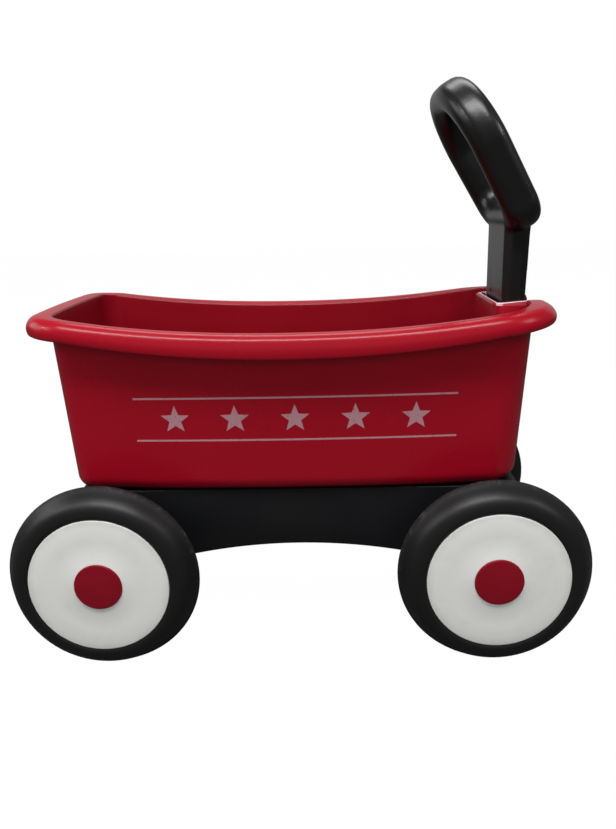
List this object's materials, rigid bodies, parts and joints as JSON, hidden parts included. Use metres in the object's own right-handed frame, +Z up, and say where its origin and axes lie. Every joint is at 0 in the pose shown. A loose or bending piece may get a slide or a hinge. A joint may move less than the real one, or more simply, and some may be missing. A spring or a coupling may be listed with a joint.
{
  "type": "toddler wagon with folding pull handle",
  "caption": "Toddler wagon: deep red moulded tub with a rolled, sagging rim on an arched black chassis, disc wheels and a ring-grip handle that folds down outwards.",
  "frame": {"origin": "on the ground, below the middle of the wagon, midway between the axles and between the two sides", "axes": "+X towards the handle end, +Y to the wagon's left when facing the handle end, +Z up"},
  "size_m": [0.485, 0.2778, 0.474],
  "materials": {
    "tub_red": "glossy moulded polypropylene",
    "cap_red": "satin moulded plastic",
    "disc_white": "fine-grained off-white moulded plastic",
    "chassis_black": "fine-grained black moulded plastic",
    "tyre_black": "smooth satin black moulded plastic",
    "handle_black": "satin black blow-moulded plastic",
    "zinc_steel": "zinc-plated steel"
  },
  "bodies": {
    "wagon_body": {"tub": "tub_red", "chassis": "chassis_black", "tub_screw_1": "zinc_steel", "tub_screw_2": "zinc_steel", "tub_screw_3": "zinc_steel", "tub_screw_4": "zinc_steel", "handle_pin": "zinc_steel", "axle_front": "zinc_steel", "axle_rear": "zinc_steel", "push_nut_front_left": "zinc_steel", "push_nut_front_right": "zinc_steel", "push_nut_rear_left": "zinc_steel", "push_nut_rear_right": "zinc_steel", "washer_front_left": "zinc_steel", "washer_front_right": "zinc_steel", "washer_rear_left": "zinc_steel", "washer_rear_right": "zinc_steel"},
    "handle": {"handle": "handle_black"},
    "wheel_front_left": {"tyre_front_left": "tyre_black", "disc_front_left": "disc_white", "cap_front_left": "cap_red"},
    "wheel_front_right": {"tyre_front_right": "tyre_black", "disc_front_right": "disc_white", "cap_front_right": "cap_red"},
    "wheel_rear_left": {"tyre_rear_left": "tyre_black", "disc_rear_left": "disc_white", "cap_rear_left": "cap_red"},
    "wheel_rear_right": {"tyre_rear_right": "tyre_black", "disc_rear_right": "disc_white", "cap_rear_right": "cap_red"}
  },
  "joints": [
    {"name": "handle_fold", "type": "hinge", "parent": "wagon_body", "child": "handle", "pos_m": [0.1862, 0, 0.158], "axis": [0, 1, 0], "range_deg": [0, 90]},
    {"name": "wheel_front_left_spin", "type": "hinge", "parent": "wagon_body", "child": "wheel_front_left", "pos_m": [0.1625, 0.1215, 0.08], "axis": [0, 1, 0], "continuous": true},
    {"name": "wheel_front_right_spin", "type": "hinge", "parent": "wagon_body", "child": "wheel_front_right", "pos_m": [0.1625, -0.1215, 0.08], "axis": [0, 1, 0], "continuous": true},
    {"name": "wheel_rear_left_spin", "type": "hinge", "parent": "wagon_body", "child": "wheel_rear_left", "pos_m": [-0.1625, 0.1215, 0.08], "axis": [0, 1, 0], "continuous": true},
    {"name": "wheel_rear_right_spin", "type": "hinge", "parent": "wagon_body", "child": "wheel_rear_right", "pos_m": [-0.1625, -0.1215, 0.08], "axis": [0, 1, 0], "continuous": true}
  ]
}
